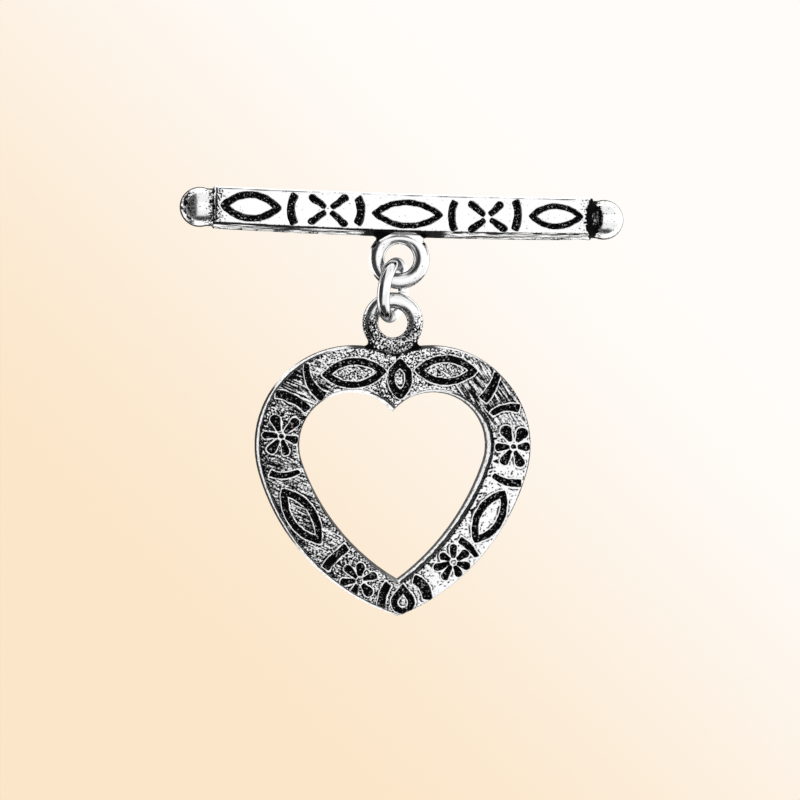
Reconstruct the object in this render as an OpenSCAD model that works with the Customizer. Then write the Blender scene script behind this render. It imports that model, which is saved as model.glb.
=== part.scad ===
// Heart toggle clasp lying on its back: a cast bar with ball ends, a jump ring and a cast open heart.
// Millimetres. The back faces lie on z = 0, +X runs along the bar and +Y from the heart to the bar.

/* [Toggle bar] */
// Length of the bar over its two balls
bar_len = 27.85; // [22:0.05:40]
// Width of the bar at its parting line
bar_w = 2.65; // [2.2:0.05:4]
// Thickness of the bar, from its back to its face
bar_thick = 2.8; // [2.6:0.05:4]
// Height of the bar's parting line, where it is widest
bar_parting = 1.7; // [1:0.05:2]
// How far the bar's back and face are drawn in on the side away from the eye
bar_draft = 0.12; // [0:0.02:0.4]
// How far the bar's back and face are drawn in on the eye's side
bar_draft_eye = 0.4; // [0:0.02:0.5]
// Diameter of the balls
ball_d = 2.5; // [1.8:0.05:2.6]
// Distance from the end of the bar's square body to the middle of the ball
ball_reach = 0.82; // [0.4:0.02:1.1]
// Thickness of the neck that carries each ball
neck_d = 2.35; // [1:0.05:2.4]
// Radius of the nick across the face at the left end of the body
nick_left = 0.16; // [0.05:0.01:0.4]
// Radius of the nick across the face at the right end of the body
nick_right = 0.46; // [0.05:0.01:0.6]
// Turn of the bar as it lies, against the X axis
bar_turn = -1.65; // [-20:0.05:20]
// How far the eye stands to the right of the bar's middle
bar_eye_shift = -0.15; // [-2:0.05:2]
// How far the bar's eye runs into the side of the bar
bar_eye_sink = 0.4; // [0.2:0.05:0.8]

/* [Heart] */
// Half the distance between the middles of the two lobes
lobe_x = 2.4; // [2:0.02:4]
// Radius of the lobes
lobe_r = 6.25; // [5.5:0.05:9]
// How far below the level each lobe's round runs before the flank takes over, in degrees
lobe_turn = 15.5; // [5:0.5:30]
// Depth of the heart's point below the middles of the lobes
heart_depth = 10.75; // [9.5:0.05:16]
// How far the point lies to the right of the middle
point_shift = 0.37; // [-0.5:0.01:0.5]
// How far the point of the opening lies to the right of the middle
opening_shift = 0.28; // [-0.5:0.01:0.5]
// Width of the band at the sides
band_side = 2.81; // [2:0.01:3.2]
// Height of the band at the point
band_point = 2.35; // [1.6:0.05:3.2]
// How much further out the middle of each of the opening's lobes stands
lobe_spread = 0.16; // [0:0.02:0.5]
// How far below the level each lobe of the opening runs before its flank, in degrees
opening_turn = 19; // [5:0.5:30]
// Thickness of the heart, from its back to its face
heart_thick = 3.1; // [2.8:0.05:4]
// Height of the heart's parting line, where its band is widest
heart_parting = 0.7; // [0.4:0.05:2]
// How far the heart's back and face are drawn in from the parting line, on every side
heart_draft = 0.2; // [0:0.02:0.3]
// How far the heart's eye runs into the cleft between the lobes
heart_eye_sink = 0.05; // [0:0.05:1]
// How far the heart's eye stands to the right of the cleft
heart_eye_shift = -0.05; // [-0.5:0.01:0.5]

/* [Casting] */
// Depth of the cut ornament
cut_depth = 0.28; // [0.1:0.02:0.5]
// Width of the cut round a marquise, a shield or a drop
cut_w = 0.38; // [0.2:0.02:0.5]
// Length of a marquise
marquise_len = 4; // [3:0.1:5]
// Width of a marquise
marquise_w = 1.75; // [1.4:0.05:2]
// Length of a bracket across the bar or the band
bracket_len = 1.9; // [1.4:0.05:2.2]
// Width of the cut of a bracket
bracket_w = 0.4; // [0.2:0.02:0.6]
// How far a bracket bows
bracket_bow = 0.22; // [0.1:0.02:0.6]
// Length of a petal of a flower, from the flower's middle
petal_len = 1.25; // [0.9:0.05:1.4]
// Width of a petal of a flower
petal_w = 0.52; // [0.3:0.02:0.6]
// Length of a petal of a cross on the bar, from the cross's middle
cross_len = 1.42; // [0.9:0.02:1.6]
// Width of a petal of a cross on the bar
cross_w = 0.42; // [0.2:0.02:0.5]
// Height of the drop at the heart's point
drop_h = 1.85; // [1.6:0.05:2]
// Width of the drop at the heart's point
drop_w = 1.46; // [1:0.02:1.5]
// Height of the shield in the heart's cleft
shield_h = 2.5; // [2:0.02:2.8]
// Width of the shield in the heart's cleft
shield_w = 1.46; // [1.2:0.02:1.8]

/* [Eyes and jump ring] */
// Hole of the two eyes
eye_hole = 1.82; // [1.6:0.02:3]
// Thickness of the round section of the two eyes
eye_wire = 1; // [0.8:0.01:1.3]
// Gap between the two eyes
eye_gap = 0.21; // [0.05:0.01:0.6]
// How far the heart's eye lies to the left of the bar's eye
eye_step = 0.4; // [0:0.02:1]
// Radius of the hollow corners where an eye joins its casting
eye_fillet = 0.2; // [0.1:0.05:0.6]
// Thickness of the web that fills those corners
root_thick = 0.9; // [0.5:0.05:1.3]
// Wire of the jump ring
ring_wire = 0.8; // [0.6:0.02:1]
// Room between the jump ring and the two eyes, when it is centred on them
ring_play = 0.16; // [0.1:0.01:0.6]
// Width of the fine cut where the jump ring opens
ring_seam = 0.05; // [0.02:0.01:0.2]
// How far the jump ring leans over as it stands, from upright
ring_lean = 25; // [0:1:32]
// Turn of the jump ring against the line through the two eyes
ring_turn = 3; // [-8:0.5:8]
// Least clearance between the jump ring and an eye
link_gap = 0.05; // [0.03:0.01:0.1]

/* [Hidden] */
$fn = 96;
SILVER = [0.74, 0.74, 0.73];
BRIGHT = [0.86, 0.86, 0.86];
// A cutter stands this far out of what it cuts, and a root or a neck runs this far into its casting
over = 0.5;

// Where the two eyes lie, with the middle of the gap between them at [0, 0]
eye_r = (eye_hole + eye_wire) / 2;
eye_od = eye_hole + 2 * eye_wire;
eye_pitch = eye_od + eye_gap;
eye_rise = sqrt(pow(eye_pitch, 2) - pow(eye_step, 2));
bar_eye = [eye_step / 2, eye_rise / 2];
heart_eye = -bar_eye;

// The jump ring stands on the table, leans over and passes through both eyes
ring_r = eye_wire + eye_gap / 2 + ring_play + ring_wire / 2;
ring_heading = atan2(eye_step, eye_rise) + ring_turn;
ring_z = ring_r * cos(ring_lean) + ring_wire / 2;
ring_side = [cos(ring_heading), -sin(ring_heading), 0];
ring_along = [sin(ring_heading), cos(ring_heading), 0];
ring_up = [-cos(ring_heading) * sin(ring_lean), sin(ring_heading) * sin(ring_lean), cos(ring_lean)];

function ring_middle(shift) = shift * ring_side + [0, 0, ring_z];
function ring_point(shift, a) = ring_middle(shift) + ring_r * (cos(a) * ring_along + sin(a) * ring_up);

// Distance from a point to the middle line of an eye that lies at height z
function to_eye(p, eye, z) = norm([norm([p[0] - eye[0], p[1] - eye[1]]) - eye_r, p[2] - z]);
function clearance(shift, z) =
    min([for (a = [0:10:350]) for (eye = [bar_eye, heart_eye]) to_eye(ring_point(shift, a), eye, z)])
    - (ring_wire + eye_wire) / 2;

// The jump ring shifts sideways to where it is clearest, and the eyes lie as low as lets it pass
SHIFT_STEP = 0.05;
RISE_STEP = 0.02;
shifts = [for (s = [-eye_wire:SHIFT_STEP:eye_wire / 2]) s];
function best_clearance(z) = max([for (s = shifts) clearance(s, z)]);
function height_for_ring(z) =
    z > heart_thick || best_clearance(z) >= link_gap ? z : height_for_ring(z + RISE_STEP);
eye_z = height_for_ring(heart_thick / 2);
clearances = [for (s = shifts) clearance(s, eye_z)];
ring_shift = shifts[search(max(clearances), clearances)[0]];

// An outline of the heart, with the middle between its lobes at [0, 0], holds five values:
// half the distance between the lobes' middles, their radius, their turn, and the point's depth and shift
OUTLINE = [lobe_x, lobe_r, lobe_turn, heart_depth, point_shift];
opening_x = lobe_x + lobe_spread;
opening_r = lobe_x + lobe_r - band_side - opening_x;
OPENING = [opening_x, opening_r, opening_turn, heart_depth - band_point, opening_shift];

// Each flank is one arc that leaves its lobe smoothly and runs to the point, drawn here for +X;
// a side of -1 gives the left flank as its mirror image
function lobe(form) = [form[0], 0];
function leaving(form) = [cos(form[2]), -sin(form[2])];
function point(form, side) = [side * form[4], -form[3]];
function flank_r(form, side) =
    let (w = point(form, side) - lobe(form), along = w * leaving(form))
    (w * w + pow(form[1], 2) - 2 * form[1] * along) / (2 * (form[1] - along));
function flank(form, side) = lobe(form) - (flank_r(form, side) - form[1]) * leaving(form);

// Bearings are taken from the heart's middle, this share of a lobe's radius below the middles of the lobes
MIDDLE_DROP = 1 / 6;
HEART_MIDDLE = [0, -lobe_r * MIDDLE_DROP];

// Distance from the heart's middle to an outline, along a bearing from +X
function far_hit(centre, r, d) =
    let (q = HEART_MIDDLE - centre) -(q * d) + sqrt(pow(q * d, 2) - q * q + r * r);
function reach(form, bearing) =
    let (side = cos(bearing) < 0 ? -1 : 1,
         d = [side * cos(bearing), sin(bearing)],
         leave = lobe(form) + form[1] * leaving(form) - HEART_MIDDLE)
    atan2(d[1], d[0]) > atan2(leave[1], leave[0])
        ? far_hit(lobe(form), form[1], d)
        : far_hit(flank(form, side), flank_r(form, side), d);

// A place on the band: across runs from -1 at the opening to 1 at the rim
function on_band(bearing, across = 0) =
    let (out = reach(OUTLINE, bearing), in = reach(OPENING, bearing))
    HEART_MIDDLE + ((out + in) / 2 + across * (out - in) / 2) * [cos(bearing), sin(bearing)];
function band_direction(bearing) =
    let (d = on_band(bearing + 1) - on_band(bearing - 1)) atan2(d[1], d[0]);

// Where the castings lie round the eyes
cleft_y = sqrt(pow(lobe_r, 2) - pow(lobe_x, 2));
eye_over_lobes = cleft_y + eye_od / 2 - heart_eye_sink;
heart_place = heart_eye - [heart_eye_shift, eye_over_lobes];
bar_rise = eye_od / 2 - bar_eye_sink + bar_w / 2;
function turned(p, a) = [p[0] * cos(a) - p[1] * sin(a), p[0] * sin(a) + p[1] * cos(a)];
bar_place = bar_eye + turned([-bar_eye_shift, bar_rise], bar_turn);

// Middles of the hollow corners beside each eye, and where the web ends in the casting, seen from the eye
function bar_round(side) =
    let (low = bar_rise - bar_w / 2 - eye_fillet)
    [side * sqrt(pow(eye_od / 2 + eye_fillet, 2) - low * low), low];
function into_bar(side) = bar_round(side) + [0, eye_fillet + over];
function lobe_middle(side) = [side * lobe_x - heart_eye_shift, -eye_over_lobes];
function lobe_round(side) =
    let (m = lobe_middle(side), d = norm(m), a = eye_od / 2 + eye_fillet, b = lobe_r + eye_fillet,
         along = (d * d + a * a - b * b) / (2 * d), off = sqrt(a * a - along * along))
    along * m / d + side * off * [-m[1], m[0]] / d;
function into_lobe(side) =
    let (c = lobe_round(side), m = lobe_middle(side) - c) c + (eye_fillet + over) * m / norm(m);

// The bar's body, its balls and the middle of its face
ball_x = (bar_len - ball_d) / 2;
body_x = ball_x - ball_reach;
bar_face_y = (bar_draft_eye - bar_draft) / 2;

// The origin lies under the middle of the whole clasp
top_y = bar_place[1] + max(ball_x * sin(abs(bar_turn)) + ball_d / 2,
                           body_x * sin(abs(bar_turn)) + bar_w / 2 * cos(bar_turn));
low_y = heart_place[1] - heart_depth;
middle = [bar_place[0], (top_y + low_y) / 2, 0];

// Marquises on the bar: place along as a share of the half body, place up as a share of the bar's width,
// length and width as shares of a marquise, and the width of the cut as a share of the usual one
BAR_MARQUISES = [
    [-0.808, -0.01, 0.95, 1.04, 1],
    [0.015, -0.037, 1.12, 0.97, 0.8],
    [0.799, -0.01, 0.86, 0.88, 0.8]
];
// Brackets on the bar: place along and up, and shares of a bracket's length, bow (positive to the right)
// and cut width
BAR_BRACKETS = [
    [-0.588, -0.02, 0.94, -1.1, 1.1],
    [-0.24, 0, 0.82, 1.1, 1.15],
    [0.256, -0.04, 0.92, -1, 1],
    [0.589, 0, 0.94, 1, 1.1]
];
// Crosses on the bar: place along and up, and the petals, each with its turn and its share of a petal's length
BAR_CROSSES = [
    [-0.402, 0, [[36, 1.02], [146, 1], [216, 1.03], [322, 1.03]]],
    [0.436, -0.06, [[44, 0.9], [143, 1.03], [218, 1], [328, 1.02]]]
];

// Marquises on the heart: bearing, place across the band, turn, length and width as shares of a marquise
MARQUISES = [
    [61.2, 0, 6, 0.98, 1.03],
    [115, -0.14, 2, 1, 1.05],
    [209.6, 0.1, 4, 1.05, 1.02],
    [329.8, 0.11, 0, 0.94, 1.02]
];
// Brackets on the heart: bearing, place across the band, turn, shares of a bracket's length, bow (positive
// towards the next bracket anticlockwise) and cut width, and how much wider the cut is at its inner end
// than at its outer one, as a share of the usual cut width
BRACKETS = [
    [38, 0.2, 17, 1.02, -0.6, 1.15, 0.5],
    [25.6, 0.1, -13, 0.93, 1, 0.95, -0.5],
    [350.5, 0.13, 2, 0.95, -0.8, 1, -0.4],
    [310.6, 0.14, -7, 0.79, 0.4, 0.9, 0.2],
    [282, 0.1, 0, 0.8, 1.2, 1.45, -0.2],
    [264.9, 0.24, 13, 0.86, -0.7, 1.2, 0],
    [237.5, 0.06, -2, 0.99, -0.4, 1.15, -0.2],
    [185.8, 0, -12, 0.95, 1, 0.8, -0.4],
    [149, 0.05, 9, 1.17, -0.9, 1.25, 0],
    [136, 0, -10, 1.22, 1.6, 1.1, 0.9]
];
// Flowers on the heart: bearing, place across the band, radius of the dot in the middle as a share of a
// petal's width, and the petals, each with its turn against the band and its shares of a petal's length
// and width
FLOWERS = [
    [7.4, 0.08, 0.3, [
        [27, 1.13, 1.35], [94, 0.91, 0.95], [148, 1.03, 1.05],
        [205, 1.08, 1.1], [271, 0.84, 1], [327, 1.08, 1.35]
    ]],
    [167.1, -0.07, 0.25, [
        [23, 0.95, 0.88], [82, 0.88, 0.92], [143, 1.17, 1.05],
        [208, 1.12, 1.2], [272, 0.95, 0.85], [330, 1.02, 1.05]
    ]],
    [252.8, 0.2, 0, [
        [55, 0.9, 0.92], [121, 0.86, 1.05], [169, 1, 0.9],
        [221, 0.94, 0.85], [282, 0.82, 0.9], [346, 0.94, 1.1]
    ]],
    [300, 0.07, 0, [
        [350, 0.92, 0.95], [44, 0.9, 0.85], [105, 0.74, 0.85], [153, 1.01, 0.88],
        [195, 1.01, 0.9], [251, 0.8, 0.9], [299, 0.88, 0.9]
    ]]
];
// The drop at the point and the shield in the cleft: bearing and place across the band
DROP = [273, 0.03];
SHIELD = [87, 0.03];
// Size of the raised drop within the cut one, and how far below its middle it stands, as shares of its height
DROP_RAISED = 0.48;
DROP_SINK = 0.06;
// How far the round in the shield's upper half stands up, as a share of what the shield is longer than wide
SHIELD_ROUND = 0.25;
// How much deeper than wide the raised part of the shield is drawn in, as a share of the cut's width
SHIELD_ENDS = 1.5;
// A petal starts this share of its width from the middle
PETAL_START = 0.55;
// Width of a petal at its start as a share of its width, in a flower and in a cross
FLOWER_ROOT = 0.4;
CROSS_ROOT = 0.65;

// Two arcs that meet in a point at both ends; inset draws it in all round
module marquise(length, width, inset = 0) {
    r = (pow(length, 2) + pow(width, 2)) / (4 * width);
    intersection() {
        translate([0, width / 2 - r]) circle(r - inset);
        translate([0, r - width / 2]) circle(r - inset);
    }
}

module marquise_cut(length, width, cut) {
    difference() {
        marquise(length, width);
        marquise(length, width, cut);
    }
}

// A curved stroke that stands across the X axis and bows towards +X, or towards -X for a negative bow; it is
// wider by taper at its +Y end than at its -Y end
module bracket_cut(length, bow, width, taper = 0) {
    sag = abs(bow);
    r = (pow(length / 2, 2) + pow(sag, 2)) / (2 * sag);
    half = asin(length / 2 / r);
    edge = (r + width) / cos(half);
    mirror([bow < 0 ? 1 : 0, 0]) translate([sag / 2 - r, 0]) intersection() {
        difference() {
            circle(r + width / 2);
            translate([0, -taper * r / length]) circle(r - width / 2);
        }
        polygon([[0, 0], edge * [cos(half), -sin(half)], edge * [cos(half), sin(half)]]);
    }
}

// A petal along +X that starts near the flower's middle and widens to a round end
module petal_cut(length, width, root_share) {
    start = width * PETAL_START;
    root = width * root_share / 2;
    round_x = length - width / 2;
    translate([round_x, 0]) circle(width / 2);
    polygon([[start, -root], [round_x, -width / 2], [round_x, width / 2], [start, root]]);
}

// A drop with its point up and its round end down, its middle at [0, 0]
module drop(height, width) {
    r = width / 2;
    tip = height - r;
    lean = asin(r / tip);
    translate([0, r - height / 2]) {
        circle(r);
        polygon([[0, tip], r * [-cos(lean), sin(lean)], r * [cos(lean), sin(lean)]]);
    }
}

module drop_cut() {
    difference() {
        drop(drop_h, drop_w);
        translate([0, -drop_h * DROP_SINK]) drop(drop_h * DROP_RAISED, drop_w * DROP_RAISED);
    }
}

// The shield is a marquise on end, with a round that fills out its upper half
module shield_cut() {
    upper = (shield_h - shield_w) * SHIELD_ROUND;
    difference() {
        union() {
            rotate(90) marquise(shield_h, shield_w);
            translate([0, upper]) circle(shield_w / 2);
        }
        rotate(90) marquise(shield_h - 2 * SHIELD_ENDS * cut_w, shield_w - 2 * cut_w);
    }
}

// A round eye that lies flat, its middle at [0, 0]
module eye() {
    translate([0, 0, eye_z]) rotate_extrude() translate([eye_r, 0]) circle(eye_wire / 2);
}

// The web that roots an eye: it fills the corners up to a hollow round on each side
module eye_root(corners, rounds) {
    translate([0, 0, eye_z - root_thick / 2]) linear_extrude(root_thick) difference() {
        polygon(corners);
        for (c = rounds) translate(c) circle(eye_fillet);
        circle(eye_r);
    }
}

// The bar's body: six flat sides, widest at the parting line
module bar_body() {
    low = bar_draft_eye - bar_w / 2;
    high = bar_w / 2 - bar_draft;
    rotate([90, 0, 90]) translate([0, 0, -body_x]) linear_extrude(2 * body_x) polygon([
        [low, 0], [high, 0], [bar_w / 2, bar_parting],
        [high, bar_thick], [low, bar_thick], [-bar_w / 2, bar_parting]
    ]);
}

module bar_ornament() {
    for (m = BAR_MARQUISES) translate([m[0] * body_x, m[1] * bar_w])
        marquise_cut(m[2] * marquise_len, m[3] * marquise_w, m[4] * cut_w);
    for (b = BAR_BRACKETS) translate([b[0] * body_x, b[1] * bar_w])
        bracket_cut(b[2] * bracket_len, b[3] * bracket_bow, b[4] * bracket_w);
    for (c = BAR_CROSSES) translate([c[0] * body_x, c[1] * bar_w])
        for (p = c[2]) rotate(p[0]) petal_cut(p[1] * cross_len, cross_w, CROSS_ROOT);
}

// A ball on its neck at one end of the body; the ball's poles lie along the bar
module ball_end(side) {
    translate([side * ball_x, 0, bar_thick / 2]) rotate([0, 90, 0]) sphere(d = ball_d);
    translate([side * (body_x - over), 0, bar_thick / 2]) rotate([0, side * 90, 0])
        cylinder(d = neck_d, h = ball_reach + over);
}

// A round nick across the face where the body meets a ball; this share of its radius lies past the body
NICK_PAST = 1 / 3;
module nick(side, r) {
    translate([side * (body_x + r * NICK_PAST), 0, bar_thick]) rotate([90, 0, 0])
        cylinder(r = r, h = bar_w + 2 * over, center = true);
}

module toggle_bar() {
    color(BRIGHT) translate([bar_eye[0], bar_eye[1], 0] - middle) rotate(bar_turn) {
        eye();
        eye_root([[0, 0], bar_round(1), into_bar(1), into_bar(-1), bar_round(-1)],
                 [bar_round(-1), bar_round(1)]);
        translate([-bar_eye_shift, bar_rise, 0]) difference() {
            union() {
                bar_body();
                ball_end(-1);
                ball_end(1);
            }
            translate([0, bar_face_y, bar_thick - cut_depth]) linear_extrude(cut_depth + over) bar_ornament();
            nick(-1, nick_left);
            nick(1, nick_right);
        }
    }
}

module flank_cone(form, side, h, grow_low, grow_high) {
    centre = flank(form, side);
    r = flank_r(form, side);
    translate([side * centre[0], centre[1], 0])
        cylinder(r1 = r + grow_low, r2 = r + grow_high, h = h, $fn = 360);
}

// A heart whose outline is grown by one value at its lower face and by another at its upper face; far lies
// well beyond it
module heart_slab(form, z_low, z_high, grow_low, grow_high) {
    h = z_high - z_low;
    far = 2 * (lobe_r + heart_depth);
    translate([0, 0, z_low]) {
        for (side = [-1, 1]) translate([side * form[0], 0, 0])
            cylinder(r1 = form[1] + grow_low, r2 = form[1] + grow_high, h = h, $fn = 180);
        intersection() {
            flank_cone(form, -1, h, grow_low, grow_high);
            flank_cone(form, 1, h, grow_low, grow_high);
            linear_extrude(h) polygon([
                [-form[0], 0], [-form[0], 0] + far * [-cos(form[2]), -sin(form[2])], [-far, -far],
                [far, -far], [form[0], 0] + far * [cos(form[2]), -sin(form[2])], [form[0], 0]
            ]);
        }
    }
}

module heart_body() {
    slope_low = heart_draft / heart_parting;
    slope_high = heart_draft / (heart_thick - heart_parting);
    difference() {
        union() {
            heart_slab(OUTLINE, 0, heart_parting, -heart_draft, 0);
            heart_slab(OUTLINE, heart_parting, heart_thick, 0, -heart_draft);
        }
        heart_slab(OPENING, -over, heart_parting, heart_draft + over * slope_low, 0);
        heart_slab(OPENING, heart_parting, heart_thick + over, 0, heart_draft + over * slope_high);
    }
}

// Places something on the band, its X axis running along the band
module at_band(bearing, across) {
    translate(on_band(bearing, across)) rotate(band_direction(bearing)) children();
}

module heart_ornament() {
    for (m = MARQUISES) at_band(m[0], m[1]) rotate(m[2])
        marquise_cut(m[3] * marquise_len, m[4] * marquise_w, cut_w);
    for (b = BRACKETS) at_band(b[0], b[1]) rotate(b[2])
        bracket_cut(b[3] * bracket_len, b[4] * bracket_bow, b[5] * bracket_w, b[6] * bracket_w);
    for (f = FLOWERS) at_band(f[0], f[1]) {
        if (f[2] > 0) circle(f[2] * petal_w, $fn = 24);
        for (p = f[3]) rotate(p[0]) petal_cut(p[1] * petal_len, p[2] * petal_w, FLOWER_ROOT / p[2]);
    }
    translate(on_band(DROP[0], DROP[1])) drop_cut();
    translate(on_band(SHIELD[0], SHIELD[1])) shield_cut();
}

module heart_ring() {
    color(SILVER) translate([heart_place[0], heart_place[1], 0] - middle) {
        difference() {
            heart_body();
            translate([0, 0, heart_thick - cut_depth]) linear_extrude(cut_depth + over) heart_ornament();
        }
        translate([heart_eye_shift, eye_over_lobes, 0]) {
            eye();
            eye_root([[0, 0], lobe_round(-1), into_lobe(-1), into_lobe(1), lobe_round(1)],
                     [lobe_round(-1), lobe_round(1)]);
        }
    }
}

// Round wire bent to a ring, with a fine cut where its ends meet
module jump_ring() {
    cut = ring_seam / ring_r * 180 / PI;
    color(BRIGHT) translate(ring_middle(ring_shift) - middle) rotate([0, 0, -ring_heading])
        rotate([0, -ring_lean, 0]) rotate([0, 90, 0]) rotate(cut / 2) rotate_extrude(angle = 360 - cut)
            translate([ring_r, 0]) circle(ring_wire / 2, $fn = 48);
}

toggle_bar();
jump_ring();
heart_ring();
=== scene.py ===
"""Heart toggle clasp: worn, blackened silver of two castings, a polished wire ring, lights and camera."""
import math

import bmesh
import bpy
import numpy as np
from bpy.props import FloatProperty, FloatVectorProperty, IntProperty, PointerProperty
from mathutils import Matrix, Vector, noise
from mathutils.bvhtree import BVHTree
from mathutils.kdtree import KDTree


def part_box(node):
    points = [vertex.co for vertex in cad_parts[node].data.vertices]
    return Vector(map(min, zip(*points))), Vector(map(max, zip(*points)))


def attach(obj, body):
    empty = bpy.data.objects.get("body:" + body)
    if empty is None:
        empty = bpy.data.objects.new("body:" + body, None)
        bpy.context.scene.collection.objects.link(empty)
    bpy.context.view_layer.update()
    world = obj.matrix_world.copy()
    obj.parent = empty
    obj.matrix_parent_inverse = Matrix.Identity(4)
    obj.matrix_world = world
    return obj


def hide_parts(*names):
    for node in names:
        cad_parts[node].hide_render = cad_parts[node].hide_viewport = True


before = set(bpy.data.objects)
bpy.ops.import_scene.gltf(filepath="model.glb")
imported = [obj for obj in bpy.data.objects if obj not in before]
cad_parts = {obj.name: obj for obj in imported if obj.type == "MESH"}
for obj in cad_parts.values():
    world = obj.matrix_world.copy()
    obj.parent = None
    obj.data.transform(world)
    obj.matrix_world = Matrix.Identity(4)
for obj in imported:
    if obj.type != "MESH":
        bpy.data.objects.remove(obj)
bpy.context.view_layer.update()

bl_info = {
    "name": "Heart toggle clasp",
    "version": (1, 0, 0),
    "blender": (4, 5, 0),
    "location": "3D View > Sidebar > Clasp",
    "description": "Finishes a cast toggle clasp: worn edges, blackened cuts, polished wire, studio light",
    "category": "Object",
}

# The castings are worked on in millimetres, because the voxels are finer than Blender allows in metres
MM = 0.001
BODY = "root"
# What a face of a casting is: the flat front, part of a cut in it, or anything else
FACE, CUT, SIDE = range(3)
# Places on the front count as level with it within this height, in millimetres
LEVEL = 0.004
# Distance between the points that stand for an edge of the front, and a distance beyond any that matters
EDGE_STEP = 0.04
FAR = 9.0
# No cut is longer than this, in millimetres
LONGEST_CUT = 4.0
# A face is a wall where this much of its normal, or more, points sideways
WALL_SHARE = 0.7
# Outer size of the eye on each casting, in millimetres
EYE_SIZE = 3.82
# Corners: how many ways are looked along, how far, the height below which walls aren't looked at, and
# the shares of blocked ways between which a corner turns black
CORNER_WAYS = 12
CORNER_REACH = 0.8
CORNER_LOWEST = 0.6
CORNER_BLACK = (0.25, 0.55)
# Depths between which a cut turns black, in millimetres
CUT_BLACK = (0.05, 0.12)
# Widths of the bright burr beside a cut and of the bright band along an outline that faces the light,
# part wear and part painted highlight, each with how much it varies
BURR_END = (0.09, 0.06)
WORN_AND_LIT_END = (0.12, 0.1)
# Half the width of the table, in metres
TABLE_HALF = 0.6


def box_mm(node):
    """The lowest and highest corner of a solid, in millimetres."""
    return [Vector(corner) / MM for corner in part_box(node)]


def ramp(value, low, high):
    """0 where a value is below low, 1 above high and a smooth step between them; low may be the larger."""
    share = np.clip((value - low) / (high - low), 0, 1)
    return share * share * (3 - 2 * share)


class ClaspCasting(bpy.types.PropertyGroup):
    """How the two castings are rebuilt and worn."""

    grain: FloatProperty(
        name="Grain", description="Size of the voxels that a casting is rebuilt from",
        default=0.046 * MM, min=0.03 * MM, subtype="DISTANCE", unit="LENGTH", precision=6)
    wear: IntProperty(
        name="Wear", description="Rounds of smoothing that wear the edges down", default=3, min=0)
    cut_depth: FloatProperty(
        name="Depth of the cuts", description="Anything on the front that is no deeper than this is a cut",
        default=0.32 * MM, subtype="DISTANCE", unit="LENGTH", precision=5)
    burr_height: FloatProperty(
        name="Height of the burr", description="Height of the lip that the tool raised beside each cut",
        default=0.035 * MM, subtype="DISTANCE", unit="LENGTH", precision=6)
    burr_width: FloatProperty(
        name="Width of the burr", description="Distance from a cut over which its lip falls away",
        default=0.07 * MM, subtype="DISTANCE", unit="LENGTH", precision=6)
    mark_depth: FloatProperty(
        name="Depth of the marks",
        description="Depth of the hatching and stippling on the ground between the cuts",
        default=0.03 * MM, subtype="DISTANCE", unit="LENGTH", precision=6)
    waver: FloatProperty(
        name="Waver", description="How far the hand that cut the ornament wavered",
        default=0.045 * MM, subtype="DISTANCE", unit="LENGTH", precision=6)
    triangles: IntProperty(
        name="Triangles", description="Most triangles that a casting keeps", default=190000, min=20000)
    plain_below: FloatProperty(
        name="Plain below", description="The walls and the back are thinned out below this height",
        default=0.8 * MM, subtype="DISTANCE", unit="LENGTH", precision=5)
    bar_width: FloatProperty(
        name="Width of the bar", description="Width of the bar at its parting line",
        default=2.65 * MM, subtype="DISTANCE", unit="LENGTH", precision=5)
    bar_turn: FloatProperty(
        name="Turn of the bar", description="Turn of the bar as it lies, against the X axis",
        default=math.radians(-1.65), subtype="ANGLE", unit="ROTATION")
    bar_bow: FloatProperty(
        name="Bow of the bar", description="How far the bar's middle hangs below its ends",
        default=0.09 * MM, subtype="DISTANCE", unit="LENGTH", precision=6)
    bar_body: FloatProperty(
        name="Length of the bar's body", description="Length of the square body between the two balls",
        default=23.71 * MM, subtype="DISTANCE", unit="LENGTH", precision=5)
    heart_middle: FloatProperty(
        name="Height of the heart's middle",
        description="Distance from the heart's point up to the place that its hatching is struck from",
        default=9.7 * MM, subtype="DISTANCE", unit="LENGTH", precision=5)


class ClaspSilver(bpy.types.PropertyGroup):
    """Colours and gloss of the silver and of its black patina."""

    silver: FloatVectorProperty(
        name="Silver", description="Colour of the polished metal", default=(0.93, 0.93, 0.94),
        size=3, min=0, max=1, subtype="COLOR")
    patina: FloatVectorProperty(
        name="Patina", description="Colour of the blackened cuts", default=(0.004, 0.004, 0.005),
        size=3, min=0, max=1, subtype="COLOR")
    shine: FloatProperty(
        name="Shine of the patina", description="Specular level of the black patina",
        default=0.02, min=0, max=1)
    gloss: FloatProperty(
        name="Roughness when polished", description="Roughness of the polished metal",
        default=0.16, min=0, max=1)
    dull: FloatProperty(
        name="Roughness when blackened", description="Roughness of the patina", default=0.5, min=0, max=1)


class ClaspRing(bpy.types.PropertyGroup):
    """The jump ring's wire and the way it stands."""

    wire: FloatProperty(
        name="Wire", description="Thickness of the jump ring's wire", default=0.8 * MM,
        subtype="DISTANCE", unit="LENGTH", precision=5)
    seam: FloatProperty(
        name="Seam", description="Width of the fine cut where the ring opens", default=0.05 * MM,
        subtype="DISTANCE", unit="LENGTH", precision=5)
    lean: FloatProperty(
        name="Lean", description="How far the ring leans over from upright", default=math.radians(25),
        subtype="ANGLE", unit="ROTATION")
    heading: FloatProperty(
        name="Heading", description="Turn of the standing ring from the Y axis towards the X axis",
        default=math.radians(8.7), subtype="ANGLE", unit="ROTATION")
    sides: IntProperty(name="Sides", description="Sides of the wire's round section", default=40, min=8)
    steps: IntProperty(name="Steps", description="Steps round the ring", default=240, min=24)


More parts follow.
